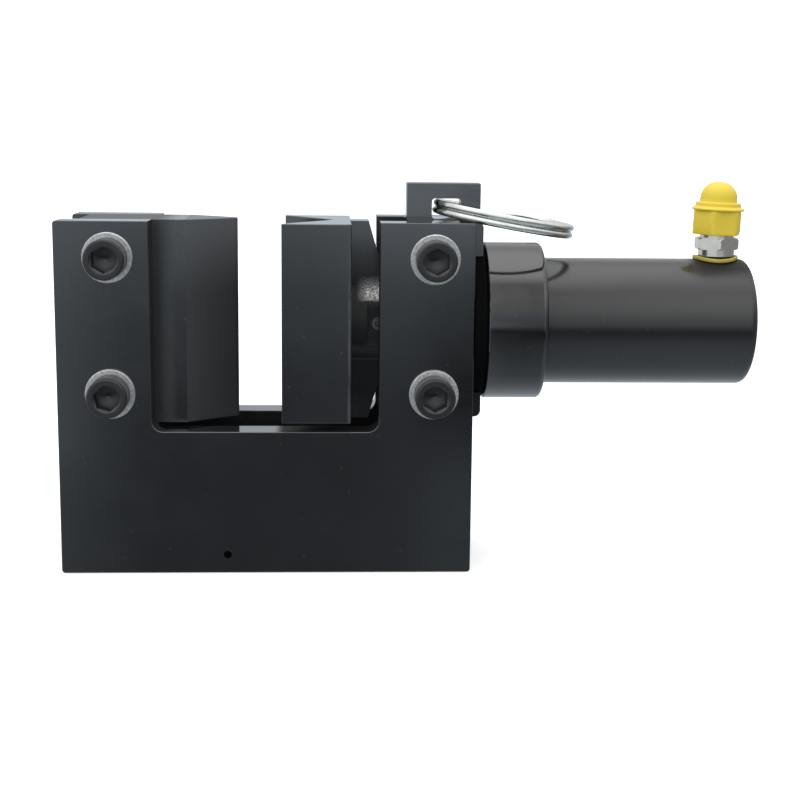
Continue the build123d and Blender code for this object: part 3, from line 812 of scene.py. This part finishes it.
def build_screws():
    columns = 2 * knurl_teeth
    for node, x in screw_x.items():
        points = []
        faces = []
        deep = []
        for side in (-1, 1):
            for height, turn in zip(screw_heights, screw_turns[node]):
                piece, skin = revolved(screw_rows(), columns, len(points))
                seat = Matrix.Translation((x, side * (outer_face + washer_thickness), height))
                upright = Matrix.Rotation(-side * pi / 2, 4, "X")
                place = seat @ upright @ Matrix.Rotation(radians(turn), 4, "Z")
                within = socket_mouth - socket_rim
                inside = [point.z > 0 and hypot(point.x, point.y) < within for point in piece]
                deep += [all(inside[corner - len(points)] for corner in face) for face in skin]
                points += [place @ point for point in piece]
                faces += skin
        screws = new_piece(node + "_knurled", points, faces, "black_screw", "frame", node)
        # The sunk faces take the darker socket finish, painted shade
        screws.data.materials.append(own_finishes["shaded_sockets"])
        for polygon, sunk in zip(screws.data.polygons, deep):
            polygon.material_index = int(sunk)


def ring_path():
    """Split ring: one turn, a short crossing, and a second turn lying on the first."""
    along = plate_right - plate_corner - ring_left
    down = ring_pivot_z - plate_height + plate_corner
    below = ring_layer / 2 + ring_wire + ring_rest
    droop = acos((below + plate_corner) / hypot(along, down)) - atan2(along, down)
    away = Vector((cos(droop), 0, -sin(droop)))
    across = Vector((0, 1, 0))
    upward = Vector((sin(droop), 0, cos(droop)))
    centre = Vector((ring_left, 0, ring_pivot_z)) + away * ring_radius
    cross_start = ring_cross_at + 2 * pi - ring_cross_span / 2
    cross_end = cross_start + ring_cross_span
    margin = (ring_end_gap + 2 * ring_wire) / ring_radius
    first = cross_end - 2 * pi + margin
    last = cross_start + 2 * pi - margin
    steps = 380
    points = []
    for step in range(steps + 1):
        angle = first + (last - first) * step / steps
        share = min(max((angle - cross_start) / ring_cross_span, 0), 1)
        height = ring_layer * (share * share * (3 - 2 * share) - 0.5)
        points.append(centre + (across * sin(angle) - away * cos(angle)) * ring_radius + upward * height)
    return points


def build_ring():
    points, faces = wire(ring_path(), ring_wire, sides=20)
    new_piece("split_ring", points, faces, "bright_ring", "ring", "carry_ring")


def build_return_spring():
    steps = 48 * return_turns
    path = []
    for step in range(steps + 1):
        turn = 2 * pi * return_turns * step / steps
        x = return_ends[0] + (return_ends[1] - return_ends[0]) * step / steps
        path.append(Vector((x, return_radius * cos(turn), axis_height + return_radius * sin(turn))))
    points, faces = wire(path, return_wire, sides=14)
    piece = new_piece("return_coil", points, faces, "spring_steel", "frame", "return_spring")
    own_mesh(piece)


def build_valve_spring():
    steps = 32 * valve_turns
    path = []
    for step in range(steps + 1):
        turn = 2 * pi * valve_turns * step / steps
        z = valve_ends[0] + (valve_ends[1] - valve_ends[0]) * step / steps
        path.append(Vector((coupler_x + valve_radius * cos(turn), valve_radius * sin(turn), z)))
    points, faces = wire(path, valve_wire, sides=10)
    piece = new_piece("valve_coil", points, faces, "spring_steel", "frame", "coupler_spring")
    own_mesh(piece)


def cap_rows():
    """Dust cap from inside its bore, round the skirt's foot and up over the lip, the bead and the dome."""

    def skirt(angle, inset, height, ribbed=False):
        turned = angle - skirt_turn
        radius = hexagon(turned, skirt_half, skirt_corner) - inset
        face = int(turned % (2 * pi) // (pi / 3))
        beside = skirt_half * tan((turned % (pi / 3)) - pi / 6)
        if ribbed and face % 2 == 1 and abs(beside) < rib_reach:
            radius += rib_depth * (0.5 + 0.5 * cos(2 * pi * beside / rib_pitch))
        return radius, height

    def side(inset, height, ribbed=False):
        return lambda angle: skirt(angle, inset, height, ribbed)

    rows = [level(cap_bore - cap_roof_inset, cap_bore_top), level(cap_bore, cap_bore_top - cap_bore_corner)]
    rows += [level(cap_bore, cap_low + skirt_edge), level(cap_bore + skirt_edge, cap_low)]
    rows += [side(skirt_edge, cap_low), side(0.3 * skirt_edge, cap_low + 0.3 * skirt_edge)]
    rows += [side(0, cap_low + skirt_edge)]
    rows += [side(0, cap_low + rib_start), side(0, cap_low + rib_start + rib_fade, ribbed=True)]
    rows += [side(0, skirt_top - rib_end - rib_fade, ribbed=True), side(0, skirt_top - rib_end)]
    rows += [side(0, skirt_top - skirt_neck), level(lip_radius - lip_inset, lip_low)]
    rows += arc_rows(lip_radius - lip_rim, lip_low + lip_rim, lip_rim, -pi / 3, pi / 2, 6)
    rows += [level(bead_radius + foot_wide, lip_top - lip_dip), level(bead_radius + foot_narrow, lip_top)]
    rows += arc_rows(bead_radius - bead_edge, bead_top - bead_edge, bead_edge, 0, pi / 2, 4)
    rows += [level(dome_radius + foot_wide, bead_top), level(dome_radius + foot_narrow, bead_top + foot_rise)]
    rows += arc_rows(dome_radius - dome_round, dome_top - dome_round, dome_round, 0, pi / 2, 14)
    return rows


def build_cap():
    points, faces = revolved(cap_rows(), columns=360)
    out = lip_radius - nub_inset
    centre = Vector((out * cos(nub_turn), out * sin(nub_turn), (skirt_top + lip_top) / 2 - nub_drop))
    nub_rows = arc_rows(0, 0, nub_radius, radians(-75), radians(75), 8)
    nub, nub_faces = revolved(nub_rows, columns=16, start=len(points))
    points = points + [centre + point for point in nub]
    pivot = Vector((0, 0, (cap_low + cap_bore_top) / 2))
    lean = Matrix.Rotation(cap_lean, 4, "Y")
    place = pivot + Vector((coupler_x + cap_shift, 0, -cap_settle))
    points = [lean @ (point - pivot) + place for point in points]
    new_piece("ribbed_cap", points, faces + nub_faces, "yellow_plastic", "cap", "dust_cap")


def build_tether():
    """Flat plastic ring round the coupler's foot, sagging to the barrel in front and behind."""
    half = (tether_outer - tether_inner) / 2
    middle = (tether_outer + tether_inner) / 2
    section = []
    for across, upward, start in ((1, 1, 0), (-1, 1, 90), (-1, -1, 180), (1, -1, 270)):
        for turn in (0, 30, 60, 90):
            angle = radians(start + turn)
            out = across * (half - tether_edge) + tether_edge * cos(angle)
            section.append((out, upward * (tether_thickness / 2 - tether_edge) + tether_edge * sin(angle)))
    columns = 120
    points = []
    for column in range(columns):
        turn = 2 * pi * column / columns
        fall = barrel_radius - sqrt(barrel_radius ** 2 - (middle * sin(turn)) ** 2)
        height = tether_low + tether_thickness / 2 - tether_sag * fall
        for out, upward in section:
            reach = middle + out
            points.append((coupler_x + tether_shift + reach * cos(turn), reach * sin(turn), height + upward))
    count = len(section)
    faces = []
    for column in range(columns):
        here = column * count
        there = (column + 1) % columns * count
        for step in range(count):
            beside = (step + 1) % count
            faces.append((here + step, there + step, there + beside, here + beside))
    new_piece("sagging_tether", points, faces, "yellow_plastic", "frame", "tether_ring")


# Studio


def build_floor():
    mesh = bpy.data.meshes.new("studio_floor")
    corners = []
    for across, along in ((-1, -1), (1, -1), (1, 1), (-1, 1)):
        corners.append((across * floor_half, along * floor_half, -floor_drop))
    mesh.from_pydata(corners, [], [(0, 1, 2, 3)])
    floor = bpy.data.objects.new("studio_floor", mesh)
    bpy.context.scene.collection.objects.link(floor)
    material, tree = new_material("floor_pale")
    shader = tree.nodes["Principled BSDF"]
    soft = noise(tree, stretched(tree, even_grain), 3, 2)
    tone = two_tone(tree, soft, grey(0.93), grey(0.95))
    join(tree, tone, shader.inputs["Base Color"])
    join(tree, tone, shader.inputs["Emission Color"])
    shader.inputs["Emission Strength"].default_value = floor_glow
    shader.inputs["Roughness"].default_value = 0.9
    shader.inputs["Specular IOR Level"].default_value = 0.1
    mesh.materials.append(material)
    floor.visible_glossy = False
    floor.visible_diffuse = False
    floor.visible_shadow = False


def build_sky():
    """Room light: bright overhead, pale table behind and below, and a dark stretch low in front."""
    world = bpy.data.worlds.new("studio_sky")
    bpy.context.scene.world = world
    world.use_nodes = True
    tree = world.node_tree
    back = tree.nodes["Background"]
    place = add(tree, "ShaderNodeTexCoord")
    parts = add(tree, "ShaderNodeSeparateXYZ")
    join(tree, place.outputs["Generated"], parts.inputs["Vector"])
    height = rise(tree, parts.outputs["Z"], -1.0, 1.0)

    def room(levels):
        stops = []
        for sine, light in levels:
            tint = cool_tint if sine < cool_below else grey(1.0)
            stops.append(((sine + 1) / 2, tuple(light / sky_strength * share for share in tint)))
        return ramp(tree, height, stops)

    sky = room(front_rooms[0])
    for blend, levels in zip(front_blends, front_rooms[1:]):
        sky = mix_colour(tree, rise(tree, parts.outputs["X"], *blend), sky, room(levels))
    sky = mix_colour(tree, rise(tree, parts.outputs["Y"], *rear_blend), sky, room(rear_room))
    sky = mix_colour(tree, rise(tree, parts.outputs["X"], *right_blend), sky, room(right_room))
    path = add(tree, "ShaderNodeLightPath")
    join(tree, mix_colour(tree, path.outputs["Is Camera Ray"], sky, grey(1.0)), back.inputs["Color"])
    back.inputs["Strength"].default_value = sky_strength


def build_studio():
    build_floor()
    build_sky()
    view = bpy.context.scene.view_settings
    view.view_transform = "Standard"
    view.look = "None"


place_camera()
dress_cad_nodes()
build_screws()
build_ring()
build_return_spring()
build_valve_spring()
build_tether()
build_cap()
build_studio()
